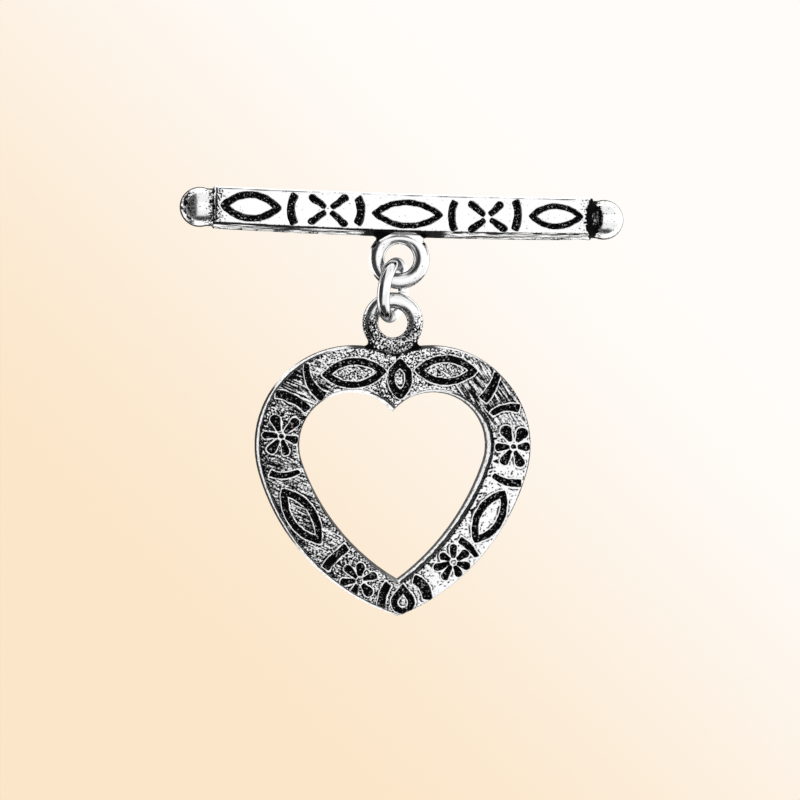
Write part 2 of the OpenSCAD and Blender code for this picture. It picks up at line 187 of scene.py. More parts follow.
class ClaspStage(bpy.types.PropertyGroup):
    """Camera, table and lights."""

    eye: FloatVectorProperty(
        name="Camera", description="Where the camera stands", default=(-0.022, 0.003, 0.25),
        size=3, subtype="TRANSLATION", unit="LENGTH")
    target: FloatVectorProperty(
        name="Target", description="What the camera is aimed at", default=(-0.00003, 0.0001, 0),
        size=3, subtype="TRANSLATION", unit="LENGTH", precision=5)
    lens: FloatProperty(
        name="Lens", description="Focal length in millimetres", default=179.6, unit="CAMERA")
    table_near: FloatVectorProperty(
        name="Table, lower left", description="Colour of the table at the lower left",
        default=(0.965, 0.79, 0.584), size=3, min=0, max=1, subtype="COLOR")
    table_far: FloatVectorProperty(
        name="Table, upper right", description="Colour of the table at the upper right",
        default=(1, 0.974, 0.947), size=3, min=0, max=1, subtype="COLOR")
    table_glow: FloatProperty(
        name="Table's glow", description="Light that the table sends into the metal by itself",
        default=0.75, min=0)
    overhead: FloatProperty(
        name="Overhead light", description="Power of the broad light overhead",
        default=0.1, min=0, unit="POWER")
    side: FloatProperty(
        name="Side light", description="Power of the light on the right",
        default=0.15, min=0, unit="POWER")
    tent: FloatProperty(name="Tent", description="Brightness of the light tent", default=0.95, min=0)
    opening: FloatProperty(
        name="Opening", description="Brightness of the room seen through the tent's opening",
        default=0.035, min=0)


class Value:
    """A socket of a node tree, so that shader maths reads as an expression."""

    def __init__(self, net, socket):
        self.net = net
        self.socket = socket

    def maths(self, operation, *terms):
        return self.net.node("ShaderNodeMath", {"operation": operation}, dict(enumerate(terms)))

    def __add__(self, other):
        return self.maths("ADD", self, other)

    def __radd__(self, other):
        return self.maths("ADD", other, self)

    def __sub__(self, other):
        return self.maths("SUBTRACT", self, other)

    def __rsub__(self, other):
        return self.maths("SUBTRACT", other, self)

    def __mul__(self, other):
        return self.maths("MULTIPLY", self, other)

    def __rmul__(self, other):
        return self.maths("MULTIPLY", other, self)

    def most(self, other):
        return self.maths("MAXIMUM", self, other)

    def between(self, low, high):
        """0 below low, 1 above high and a smooth step between them."""
        return self.net.node("ShaderNodeMapRange", {"interpolation_type": "SMOOTHSTEP"},
                             {"Value": self, "From Min": low, "From Max": high})


class Net:
    """The node tree of a material or of the world, empty at first."""

    def __init__(self, owner):
        owner.use_nodes = True
        self.tree = owner.node_tree
        self.tree.nodes.clear()

    def node(self, kind, settings=None, inputs=None, output=0):
        """Adds a node: its settings first, then the values or links of its sockets."""
        made = self.tree.nodes.new(kind)
        for key, value in (settings or {}).items():
            setattr(made, key, value)
        for key, value in (inputs or {}).items():
            if isinstance(value, Value):
                self.tree.links.new(value.socket, made.inputs[key])
            else:
                made.inputs[key].default_value = value
        return Value(self, made.outputs[output]) if made.outputs else None

    def attribute(self, name):
        return self.node("ShaderNodeAttribute", {"attribute_name": name}, output="Fac")

    def place(self):
        """Places on the piece, in metres."""
        return self.node("ShaderNodeTexCoord", output="Object")

    def stretched(self, scale):
        """Places on the piece, each axis multiplied by its own number."""
        return self.node("ShaderNodeMapping", inputs={"Vector": self.place(), "Scale": scale})

    def drawn_out(self, heading, length, width):
        """Places counted in a stroke's length along a heading in degrees, and in its width across it."""
        return self.node("ShaderNodeMapping", {"vector_type": "TEXTURE"}, {
            "Vector": self.place(), "Rotation": (0, 0, math.radians(heading)),
            "Scale": (length, width, width)})

    def noise(self, vector, scale=1, detail=2, roughness=0.5):
        return self.node("ShaderNodeTexNoise", inputs={
            "Vector": vector, "Scale": scale, "Detail": detail, "Roughness": roughness})

    def mixed(self, share, first, second):
        """A colour between two colours."""
        return self.node("ShaderNodeMix", {"data_type": "RGBA"},
                         {0: share, 6: (*first, 1) if isinstance(first, tuple) else first,
                          7: (*second, 1) if isinstance(second, tuple) else second}, output=2)


class Casting:
    """A cast solid in millimetres, and where its front, its cuts and its outlines lie. No cut lies
    further from its middle along X than the cuts' reach."""

    def __init__(self, node, cut_depth, cut_reach):
        self.node = node
        self.low, self.high = box_mm(node)
        self.top = self.high.z
        self.cut_depth = cut_depth
        self.cut_reach = cut_reach
        self.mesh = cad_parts[node].data.copy()
        self.mesh.transform(Matrix.Scale(1 / MM, 4))
        solid = bmesh.new()
        solid.from_mesh(self.mesh)
        bmesh.ops.remove_doubles(solid, verts=solid.verts, dist=0.001)
        solid.faces.index_update()
        solid.faces.ensure_lookup_table()
        self.tree = BVHTree.FromBMesh(solid)
        self.kinds = [self.kind(face) for face in solid.faces]
        self.islets = self.small_flats(solid)
        self.cut_edges = self.edge_points(solid, CUT)
        self.outlines = self.edge_points(solid, SIDE)
        solid.to_mesh(self.mesh)
        solid.free()

    def kind(self, face):
        """Whether a face is part of the flat front, of a cut in it, or of anything else."""
        lowest = min(corner.co.z for corner in face.verts)
        if lowest > self.top - LEVEL:
            return FACE
        off = abs(face.calc_center_median().x - (self.low.x + self.high.x) / 2)
        if lowest > self.top - self.cut_depth and off < self.cut_reach and self.walled_in(face):
            return CUT
        return SIDE

    def walled_in(self, face):
        """Whether a shallow face is part of a cut: a floor, or a wall with another close in front of it."""
        ahead = Vector((face.normal.x, face.normal.y, 0))
        if ahead.length < WALL_SHARE:
            return True
        start = face.calc_center_median() + 0.01 * ahead
        return self.tree.ray_cast(start, ahead.normalized(), LONGEST_CUT)[0] is not None

    def small_flats(self, solid):
        """The faces of the front that a cut rings in, such as the middle of a marquise."""
        flats = []
        waiting = {face for face in solid.faces if self.kinds[face.index] == FACE}
        while waiting:
            flat = [waiting.pop()]
            for face in flat:
                for edge in face.edges:
                    for other in edge.link_faces:
                        if other in waiting:
                            waiting.remove(other)
                            flat.append(other)
            flats.append(flat)
        flats.sort(key=lambda flat: sum(face.calc_area() for face in flat))
        return {face.index for flat in flats[:-1] for face in flat}

    def edge_points(self, solid, kind):
        """Close points along the edges where the front meets cuts, or sides."""
        points = []
        for edge in solid.edges:
            if sorted(self.kinds[face.index] for face in edge.link_faces) == [FACE, kind]:
                start, end = (corner.co for corner in edge.verts)
                steps = max(1, math.ceil((end - start).length / EDGE_STEP))
                points += [start.lerp(end, step / steps) for step in range(steps)]
        tree = KDTree(len(points))
        for number, point in enumerate(points):
            tree.insert(point, number)
        tree.balance()
        return tree

    def read(self, mesh):
        """Every vertex of a mesh that follows this solid, as a Reading."""
        places = vectors_of(mesh.vertices, "co")
        count = len(places)
        kinds = np.empty(count, dtype=int)
        to_cut = np.full(count, FAR)
        to_outline = np.full(count, FAR)
        facing = np.zeros((count, 2))
        ringed = np.zeros(count, dtype=bool)
        for number, place in enumerate(places):
            face = self.tree.find_nearest(place)[2]
            kinds[number] = self.kinds[face]
            ringed[number] = face in self.islets
            if kinds[number] != SIDE:
                to_cut[number] = self.cut_edges.find(place)[2]
                edge, _, to_outline[number] = self.outlines.find(place)
                facing[number] = (edge.x - place[0], edge.y - place[1])
        facing /= np.maximum(np.hypot(facing[:, 0], facing[:, 1]), LEVEL)[:, None]
        normals = vectors_of(mesh.vertices, "normal")
        return Reading(places, normals, kinds, to_cut, to_outline, facing, ringed)

    def hidden_share(self, place, normal, directions, far):
        """Share of the directions above a place that its own casting blocks within a short distance."""
        start = Vector(place) + 0.02 * normal
        blocked = 0
        for direction in directions:
            # A direction anywhere on the sphere, plus a little more than the normal, points off the surface
            way = direction + normal * 1.05
            blocked += self.tree.ray_cast(start, way.normalized(), far)[0] is not None
        return blocked / len(directions)


class Reading:
    """Vertices of a casting: places and normals, kinds, distances to the nearest cut and the nearest
    outline of the front, the way that this outline faces in plan, and whether a cut rings the place in."""

    def __init__(self, places, normals, kinds, to_cut, to_outline, facing, ringed):
        self.places = places
        self.normals = normals
        self.kinds = kinds
        self.to_cut = to_cut
        self.to_outline = to_outline
        self.facing = facing
        self.ringed = ringed

    def only(self, kind):
        """The vertices of one kind."""
        chosen = self.kinds == kind
        return Reading(self.places[chosen], self.normals[chosen], self.kinds[chosen], self.to_cut[chosen],
                       self.to_outline[chosen], self.facing[chosen], self.ringed[chosen])


def vectors_of(vertices, what):
    """The places or the normals of all vertices, one row each."""
    flat = np.empty(len(vertices) * 3)
    vertices.foreach_get(what, flat)
    return flat.reshape(-1, 3)


def modified(mesh, name, *modifiers, weights=None):
    """The mesh after some modifiers, each a type and its settings, that may read one weight per vertex."""
    worker = bpy.data.objects.new(name, mesh)
    bpy.context.scene.collection.objects.link(worker)
    if weights is not None:
        group = worker.vertex_groups.new(name="weights")
        for weight in np.unique(weights):
            group.add(np.flatnonzero(weights == weight).tolist(), float(weight), "REPLACE")
    for kind, settings in modifiers:
        modifier = worker.modifiers.new(kind.title(), kind)
        for key, value in settings.items():
            setattr(modifier, key, value)
    whole = bpy.context.evaluated_depsgraph_get()
    result = bpy.data.meshes.new_from_object(worker.evaluated_get(whole))
    bpy.data.objects.remove(worker)
    return result


def write_attribute(mesh, name, values):
    """Stores one number per vertex for the finish to read."""
    mesh.attributes.new(name, "FLOAT", "POINT").data.foreach_set("value", values.astype(np.float32))


def speckles(places, size, seed):
    """Round noise, mostly from -0.5 to 0.5, whose spots are about as wide as size."""
    return np.array([noise.noise((x / size, y / size, z / size + seed)) for x, y, z in places])


def strokes(places, heading, width, length, seed):
    """Noise drawn out into strokes along a heading in degrees."""
    along = (math.cos(math.radians(heading)), math.sin(math.radians(heading)))
    return np.array([
        noise.noise(((x * along[0] + y * along[1]) / length, (y * along[0] - x * along[1]) / width, seed))
        for x, y, z in places])


def rim_line(normals, width=0.46):
    """Darkness of the thin line where a round piece's sides stand upright: painted shade of its outline,
    partly unpolished metal.
    """
    return 0.9 * ramp(np.abs(normals[:, 2]), width, width / 2)


class HeartGround:
    """The ground between the heart's cuts: hatched on the left and on the right shoulder, stippled at
    the top and at the point, and nearly bare on the right flank."""

    # Shares of the burr and of the dark line beyond it that the cuts have here
    BURR = 1
    ECHO = 0.9
    # Size of the dots of the stippling, in millimetres
    DOT = 0.125
    # Heading in degrees of the short ticks along the right flank
    TICKS = 4
    # Bearing from the heart's middle in degrees, share of the ground that is worked, its darkness, and
    # the share of stippling in it
    # Painted shade in part: the worked left is darker and the nearly bare right flank lighter, as if lit
    # from the right, besides the tool work
    BAND = np.array([
        (-180, 1, 0.62, 0.25), (-165, 1, 0.58, 0.3), (-150, 1, 0.59, 0.2), (-130, 1, 0.52, 0.4),
        (-115, 1, 0.64, 0.8), (-100, 0.9, 0.58, 0.8), (-82, 0.45, 0.52, 0.8), (-60, 0.2, 0.5, 1),
        (2, 0.2, 0.5, 1), (16, 0.5, 0.6, 0.4), (26, 0.95, 0.61, 0.1), (48, 1, 0.6, 0.1),
        (62, 1, 0.47, 0.9), (90, 1, 0.45, 1), (118, 1, 0.47, 0.9), (134, 1, 0.58, 0.2),
        (150, 1, 0.63, 0.1), (157, 1, 0.7, 0.9), (174, 1, 0.68, 0.7), (180, 1, 0.62, 0.25)])
    # How much darker the ground is that a cut rings in
    RINGED = 0.06
    # How far the eye stands to the right of the heart's middle, in millimetres
    EYE_SHIFT = -0.05
    # Heights between which the painted shadow at the foot of a wall fades out: outside at the left, at the
    # back, and inside at the right
    LEFT_FOOT = (1.75, 1.6)
    BACK_FOOT = (1.4, 1.1)
    INNER_FOOT = (1.65, 1.4)
    # How far the black corner below the eye reaches from the eye's middle
    CORNER = (2.16, 2.06)

    def __init__(self, casting, middle_height):
        self.casting = casting
        self.middle = Vector(((casting.low.x + casting.high.x) / 2, casting.low.y + middle_height))
        self.eye = Vector((self.middle.x + self.EYE_SHIFT, casting.high.y - EYE_SIZE / 2))

    def band(self, at):
        """Share of the ground that is worked, its darkness and its share of stippling, at each place."""
        x, y = at.places[:, 0] - self.middle.x, at.places[:, 1] - self.middle.y
        bearing = np.degrees(np.arctan2(y, x))
        return [np.interp(bearing, self.BAND[:, 0], self.BAND[:, column]) for column in (1, 2, 3)]

    def front(self, at):
        """Darkness of the ground on the front, from 0 to 1 or a little past either end, with painted shade
        near outlines that face -X, and that of the painted shade line along its far edge."""
        worked, level, _ = self.band(at)
        dots = speckles(at.places, self.DOT, 11.0)
        patches = speckles(at.places, 1.1, 4.0)
        # Near outlines that face -X the ground is darker with painted shade, and the bare flank there also
        # gets ticks of hatching
        away = ramp(at.facing[:, 0], -0.3, -0.6)
        level = level + 0.12 * patches + self.RINGED * at.ringed
        level += 0.12 * away * ramp(at.to_outline, 0.9, 0.1)
        ticks = strokes(at.places, self.TICKS, 0.09, 0.4, 9.5)
        bare = 2.6 * (dots - 0.18) + away * ramp(at.to_outline, 0.85, 0.1) * (0.4 + 2.2 * ticks)
        shade = worked * level + (1 - worked) * np.maximum(bare, 0)
        below = ramp(at.places[:, 1], self.middle.y - 1, self.middle.y - 5)
        lower_right = below * ramp(at.places[:, 0], self.middle.x + 1, self.middle.x + 3)
        # Painted shade: a dark line along outlines that face +X, weaker at the lower right
        far_edge_shade = ramp(at.facing[:, 0], 0.15, 0.4) * ramp(at.to_outline, 0.08, 0.04)
        return shade, far_edge_shade * (1 - 0.75 * lower_right) * (0.9 + 0.5 * patches)

    def tooled(self, at):
        """How strongly the tool marks show, and how much of them is stippling."""
        worked, _, stippled = self.band(at)
        low_eye = ramp(at.places[:, 1], self.eye.y + 1.3, self.eye.y - 0.5) * self.on_eye(at)
        strength = np.where(at.kinds == FACE, worked, 1.3 * low_eye * (at.kinds == SIDE))
        return strength, np.where(at.kinds == SIDE, 1, stippled)

    def from_eye(self, at):
        """Distance from the eye's middle in plan."""
        return np.hypot(at.places[:, 0] - self.eye.x, at.places[:, 1] - self.eye.y)

    def on_eye(self, at):
        """1 on the eye, 0 off it."""
        return ramp(self.from_eye(at), EYE_SIZE / 2 + 0.06, EYE_SIZE / 2 - 0.02)

    def sides(self, at):
        """Darkness of the walls, with painted shadow at the foot, plain silver above it, and painted shade
        where they face +X and beside the eye; and of the eye: its lower half darker, with painted shade at
        its lower left and upright sides."""
        x, y, z = at.places.T
        dots = speckles(at.places, self.DOT, 11.0)
        on_eye = self.on_eye(at)
        lower = 0.62 * ramp(y, self.eye.y + 1.3, self.eye.y - 0.5)
        # Painted shade: the eye's lower left is darker still
        lower += 0.3 * ramp(x, self.eye.x - 0.8, self.eye.x - 1.3) * ramp(y, self.eye.y + 0.8, self.eye.y)
        # Painted shadow at the foot of the walls: outside at the left, at the back, and inside at the right
        inner = ramp(x, self.middle.x - 0.5, self.middle.x + 0.5)
        left = (1 - inner) * ramp(at.normals[:, 0], -0.7, -0.88)
        back = ramp(at.normals[:, 1], 0.7, 0.9)
        foot = left * ramp(z + 0.3 * dots, *self.LEFT_FOOT)
        foot = np.maximum(foot, back * 0.9 * ramp(z, *self.BACK_FOOT))
        foot = np.maximum(foot, inner * 0.7 * ramp(z + 0.4 * dots, *self.INNER_FOOT))
        # Painted shade beside the eye, on the lobes' walls next to it
        corner = ramp(self.from_eye(at) + 0.4 * dots, 3.5, 2.7) * ramp(y, 2.0, 2.6)
        # Painted shade on walls that face +X
        turned = 0.75 * ramp(at.normals[:, 0], 0.35, 0.6)
        flecks = 0.8 * ramp(dots, 0.12, 0.4)
        wall = np.maximum(np.maximum(foot, corner), np.maximum(turned, flecks))
        return on_eye * np.maximum(lower, rim_line(at.normals)) + (1 - on_eye) * wall

    def over(self, at):
        """Black that lies over everything else: the corner below the eye."""
        from_eye = self.from_eye(at)
        return ramp(from_eye, EYE_SIZE / 2 - 0.04, EYE_SIZE / 2 + 0.02) * ramp(from_eye, *self.CORNER)

    def bow(self, at):
        """How far each place is shifted along -Y: the heart keeps its shape."""
        return 0


class BarGround:
    """The bar's ground: polished, with fine pits that gather at the ends, a brushed lower side that is grey
    partly as painted shade, and a blackened nick at each end."""

    # Shares of the burr and of the dark line beyond it that the cuts have here
    BURR = 0.25
    ECHO = 0
    # Size of the fine pits, in millimetres
    PIT = 0.08
    # Half widths of the black line in the left nick and of the black lens in the right one
    LINE = 0.06
    LENS = 0.56
    # How far up and down the lens would reach, and the half sizes of the greyer round within it
    LENS_TIP = 1.5
    ROUND = (0.26, 0.6)
    # Darkness of the brushed lower side, partly painted shade, and how much it varies
    BRUSHED = (0.48, 0.9)
    # Depths below the face between which the painted shade line under its edge ends
    UNDER_EDGE_SHADE = (0.3, 0.22)
    # Heights between which the painted shade dashes along the parting line fade, upwards and downwards
    FOOT = (1.92, 1.8)
    FOOT_LOW = (1.1, 1.5)

    def __init__(self, casting, half_body, width, turn, hang):
        self.casting = casting
        self.half_body = half_body
        self.width = width
        self.turn = turn
        self.hang = hang
        self.middle = Vector(((casting.low.x + casting.high.x) / 2,
                              casting.high.y - half_body * math.sin(-turn) - width / 2 * math.cos(turn)))
        self.eye = Vector((self.middle.x, casting.low.y + EYE_SIZE / 2))

    def in_bar(self, places):
        """Places along and up the bar, from the middle of its body."""
        x, y = places[:, 0] - self.middle.x, places[:, 1] - self.middle.y
        return (x * math.cos(self.turn) + y * math.sin(self.turn),
                y * math.cos(self.turn) - x * math.sin(self.turn))

    def tooled(self, at):
        """The bar bears no tool marks."""
        return np.zeros(len(at.places)), np.zeros(len(at.places))

    def over(self, at):
        """Black of the nicks over everything else: a rough line at the left, a ragged lens at the right."""
        along, up = self.in_bar(at.places)
        rough = speckles(at.places * (1, 1, 0), 0.17, 5.0)
        line = ramp(np.abs(along + self.half_body) + 0.3 * rough, self.LINE, self.LINE - 0.05)
        lens_half = self.LENS * (1 - (up / self.LENS_TIP) ** 2)
        lens = ramp(lens_half - np.abs(along - self.half_body) + 0.25 * rough, 0, 0.06)
        off = along - self.half_body - 0.2
        grey = ramp((off / self.ROUND[0]) ** 2 + (up / self.ROUND[1]) ** 2, 1, 0.7)
        streaks = strokes(at.places, 80, 0.12, 0.5, 7.5)
        lens *= 1 - grey * (0.36 - 0.8 * streaks)
        return np.maximum(line, lens) * ramp(at.places[:, 2], 1.1, 1.4)

    def front(self, at):
        """Darkness of the face, and that of the painted shade line along its far edge."""
        along = self.in_bar(at.places)[0]
        left = ramp(along, 1.2 - self.half_body, 0.2 - self.half_body)
        right = ramp(along, self.half_body - 1.3, self.half_body - 0.4)
        pits = speckles(at.places, self.PIT, 3.0)
        shade = 4.5 * (pits - 0.5 + 0.62 * left + 0.28 * right + 0.08 * ramp(along, 3, 9))
        # Painted shade: a broken dark line along the outline that faces +Y, stronger at the left
        far_edge_shade = ramp(at.to_outline, 0.1, 0.05) * ramp(at.facing[:, 1], 0.5, 0.8)
        broken = 0.4 + 0.9 * strokes(at.places, 0, 0.3, 1.2, 2.5) + 0.35 * ramp(along, -4, -9)
        return shade, far_edge_shade * broken

    def sides(self, at):
        """Darkness of the brushed lower side, partly painted shade, with painted shade under the face's
        edge and along the parting line, of the corner at the eye's root, of the pitted balls with painted
        shade on their left sides, and of the round pieces' rims, painted shade partly unpolished."""
        x, y, z = at.places.T
        along = self.in_bar(at.places)[0]
        pits = speckles(at.places, self.PIT, 3.0)
        upright = np.column_stack((x, z, y))
        body = ramp(np.abs(along), self.half_body + 0.05, self.half_body - 0.05)
        # The lower side: brushed strokes over a grey that is partly painted shade
        low_side = body * ramp(at.normals[:, 1], -0.3, -0.7)
        brushed = strokes(upright * (1, 2.2, 1), 0, 0.16, 2.2, 1.5)
        brushed += 0.5 * strokes(upright, 0, 0.1, 0.5, 6.5)
        # Painted shade: a dark line under the face's edge, solid at the left and dashed at the right
        dashes = ramp(along, 3, -1) + ramp(strokes(upright, 0, 0.4, 0.5, 4.5), 0.0, 0.12)
        under_edge_shade = ramp(z, *(self.casting.top - depth for depth in self.UNDER_EDGE_SHADE)) * dashes
        # Painted shade: dark dashes along the parting line
        foot = ramp(z + 0.6 * pits, *self.FOOT) * ramp(z, *self.FOOT_LOW)
        foot *= ramp(strokes(upright, 0, 0.4, 0.7, 8.5), -0.1, 0.05)
        from_eye = np.hypot(x - self.eye.x, y - self.eye.y)
        aside = np.abs(x - self.eye.x) + 0.35 * pits
        root = (ramp(from_eye, EYE_SIZE / 2 - 0.06, EYE_SIZE / 2 + 0.02) * ramp(aside, 3.0, 2.2)
                * ramp(y, self.eye.y + 0.5, self.eye.y + 0.8) * ramp(at.normals[:, 1], 0.6, 0.3))
        level, change = self.BRUSHED
        wall = low_side * np.maximum(level + change * brushed, np.maximum(under_edge_shade, foot))
        ball = ramp(np.abs(along), self.half_body - 0.02, self.half_body + 0.1)
        rough = 4.5 * (pits - 0.34 + 0.5 * ramp(np.abs(along), self.half_body + 0.7, self.half_body))
        # Painted shade on the balls' left-facing upper sides, made ragged by noise
        shade_ragging = speckles(at.places, 0.3, 13.0)
        left_side_shade = ramp(at.normals[:, 0] + 0.6 * shade_ragging, -0.2, -0.32)
        left_side_shade *= ramp(at.normals[:, 2] + 0.2 * shade_ragging, 0.3, 0.45)
        rough = np.maximum(rough, left_side_shade * (0.7 + 1.2 * shade_ragging + 0.6 * pits))
        # Painted shade along the upright sides of the eye and the balls, partly unpolished metal
        round_piece = 1 - body * ramp(from_eye, EYE_SIZE / 2 - 0.1, EYE_SIZE / 2)
        return np.maximum(np.maximum(wall, root), np.maximum(
            round_piece * rim_line(at.normals), np.maximum(ball * rough, 4.5 * (pits - 0.48))))

    def bow(self, at):
        """How far each place is shifted along -Y: the bar hangs a little in its middle, more at its
        lower side, and its eye stays."""
        along, up = self.in_bar(at.places)
        body = ramp(up, -self.width / 2 - 0.6, -self.width / 2 + 0.1)
        lower = 1 + ramp(up, self.width / 2, -self.width / 2)
        return self.hang * body * lower * np.clip(1 - (along / self.half_body) ** 2, 0, 1)


def ground_darkness(ground, at):
    """Darkness of front and sides. On the front the burrs beside the cuts are bright with a dark foot, an
    outline that faces the light gets a bright band, part wear and part painted highlight, and one that
    faces -X a painted shade line."""
    dark = np.zeros(len(at.places))
    front = at.only(FACE)
    ragged = speckles(front.places, 0.3, 8.0)
    burr_end = BURR_END[0] + BURR_END[1] * ragged
    worn_and_lit_end = (WORN_AND_LIT_END[0] + WORN_AND_LIT_END[1] * ragged) * (1 - 0.8 * ramp(front.facing[:, 1], 0.3, 0.7))
    shade, far_edge_shade = ground.front(front)
    echo = np.exp(-((front.to_cut - burr_end - 0.05) / 0.03) ** 2)
    shade += ground.ECHO * echo * ramp(ragged, -0.25, 0.15)
    # Painted shade: a dark line along outlines that face -X; along the others a bright band without ground,
    # part wear and part painted highlight, narrower where they face +Y
    away = ramp(front.facing[:, 0], -0.3, -0.5)
    worn = ramp(front.to_outline, worn_and_lit_end - 0.08, worn_and_lit_end + 0.03)
    shade = away * (shade + 3 * ramp(front.to_outline, 0.11, 0.07)) + (1 - away) * shade * worn
    shade = np.clip(shade, 0, 1) * ramp(front.to_cut, burr_end - 0.03, burr_end + 0.02)
    dark[at.kinds == FACE] = np.maximum(shade, far_edge_shade)
    walls = at.only(SIDE)
    # The painted shade under an outline that faces -X reaches deeper where the wall turns up or down the
    # band
    depth = 0.5 + 0.4 * ramp(np.abs(walls.normals[:, 1]), 0.3, 0.6)
    ragged_shade_edge = 0.2 * speckles(walls.places, 0.4, 6.0)
    edge = ramp(walls.places[:, 2] + depth - ground.casting.top + ragged_shade_edge, -0.05, 0.05)
    edge *= ramp(np.abs(walls.normals[:, 2]), 0.5, 0.3)
    dark[at.kinds == SIDE] = np.maximum(ground.sides(walls), edge * ramp(walls.normals[:, 0], -0.2, -0.4))
    dark[at.kinds != CUT] = np.maximum(dark, ground.over(at))[at.kinds != CUT]
    return np.clip(dark, 0, 1)


def waver(places, at, amount):
    """Shifts the cuts and their burrs a little in plan, as a hand-held tool wavers, but no outline."""
    near = ramp(at.to_cut, 0.6, 0.25) * ramp(at.to_outline, 0.05, 0.3) * (at.kinds != SIDE)
    near[at.kinds == CUT] = 1
    for axis, seed in ((0, 21.0), (1, 37.0)):
        flat = at.places * (1, 1, 0)
        shift = speckles(flat, 0.5, seed) + 0.5 * speckles(flat, 0.2, seed + 5)
        places[:, axis] += amount * near * shift


def plainness(at, below):
    """How freely each vertex may be thinned out: 1 on the back and the lower walls, 0.5 on the upper
    walls, the cuts' floors and the plain parts of the front, and 0 along the lines of the front."""
    low = (at.kinds == SIDE) & (at.places[:, 2] < below)
    line = (at.kinds != SIDE) & ((at.to_cut < 0.15) | (at.to_outline < 0.3))
    return 0.5 + 0.5 * low - 0.5 * line


def cast_piece(node, name, ground_of, cut_reach):
    """Rebuilds a casting with worn edges, burrs beside its cuts and marks on its ground, and the
    attributes that its finish reads."""
    sizes = bpy.context.scene.clasp_casting
    casting = Casting(node, sizes.cut_depth / MM, cut_reach)
    ground = ground_of(casting)
    mesh = modified(
        casting.mesh, "worn",
        ("REMESH", {"mode": "VOXEL", "voxel_size": sizes.grain / MM}),
        ("SMOOTH", {"factor": 0.5, "iterations": sizes.wear}))
    at = casting.read(mesh)
    dark = ground_darkness(ground, at)
    places = at.places.copy()
    burr = ground.BURR * np.exp(-(at.to_cut / (sizes.burr_width / MM)) ** 2)
    burr *= 0.65 + 0.7 * speckles(places, 0.25, 8.0)
    raised = sizes.burr_height / MM * burr - sizes.mark_depth / MM * dark
    places[:, 2] += np.where(at.kinds == FACE, raised, 0)
    write_finish(mesh, casting, at, dark, *ground.tooled(at))
    waver(places, at, sizes.waver / MM)
    places[:, 1] -= ground.bow(at)
    mesh.vertices.foreach_set("co", places.ravel())
    mesh.update()
    count = sum(len(face.vertices) - 2 for face in mesh.polygons)
    mesh = modified(mesh, "thinned", (
        "DECIMATE", {"ratio": min(1, sizes.triangles / count), "vertex_group": "weights"}),
        weights=plainness(at, sizes.plain_below / MM))
    mesh.transform(Matrix.Scale(MM, 4))
    mesh.shade_smooth()
    mesh.name = name
    piece = bpy.data.objects.new(name, mesh)
    bpy.context.scene.collection.objects.link(piece)
    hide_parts(node)
    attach(piece, BODY)
    return piece


def spread_directions(count):
    """Directions that are spread evenly over the sphere."""
    turn = math.pi * (3 - math.sqrt(5))
    directions = []
    for number in range(count):
        z = 1 - (2 * number + 1) / count
        r = math.sqrt(1 - z * z)
        directions.append(Vector((r * math.cos(turn * number), r * math.sin(turn * number), z)))
    return directions


def write_finish(mesh, casting, at, dark, tooled, stippled):
    """Writes where the mesh is cut, how dark its ground is and how it is tooled, and how deep it lies
    in a corner."""
    depth = np.where(at.kinds == CUT, casting.top - at.places[:, 2], 0)
    write_attribute(mesh, "cut", ramp(depth, *CUT_BLACK))
    # The ground's darkness holds tool work and patina, and also painted shade along outlines and walls
    write_attribute(mesh, "ground", dark)
    write_attribute(mesh, "tooled", tooled)
    write_attribute(mesh, "stippled", stippled)
    directions = spread_directions(CORNER_WAYS)
    hollow = np.zeros(len(at.places))
    for number in np.flatnonzero((at.kinds == SIDE) & (at.places[:, 2] > CORNER_LOWEST)):
        normal = Vector(at.normals[number])
        hollow[number] = casting.hidden_share(at.places[number], normal, directions, CORNER_REACH)
    write_attribute(mesh, "hollow", ramp(hollow, *CORNER_BLACK))


def tool_marks(net):
    """Fine strokes and dots that the tool left: below 0 where they are light, above it where dark."""
    dots = net.noise(net.place(), scale=9 / MM, detail=1)
    stroke = (0.9 * MM, 0.1 * MM)
    left = net.noise(net.drawn_out(-24, *stroke), detail=1)
    shoulder = net.noise(net.drawn_out(-56, *stroke), detail=1)
    across = net.node("ShaderNodeSeparateXYZ", inputs={"Vector": net.place()}, output="X")
    at_shoulder = across.between(1 * MM, 3 * MM)
    strokes_here = left + at_shoulder * (shoulder - left)
    stippled = net.attribute("stippled")
    marks = strokes_here + stippled * (dots - strokes_here)
    return net.attribute("tooled") * 3.6 * (0.2 * dots + 0.8 * marks - 0.5)


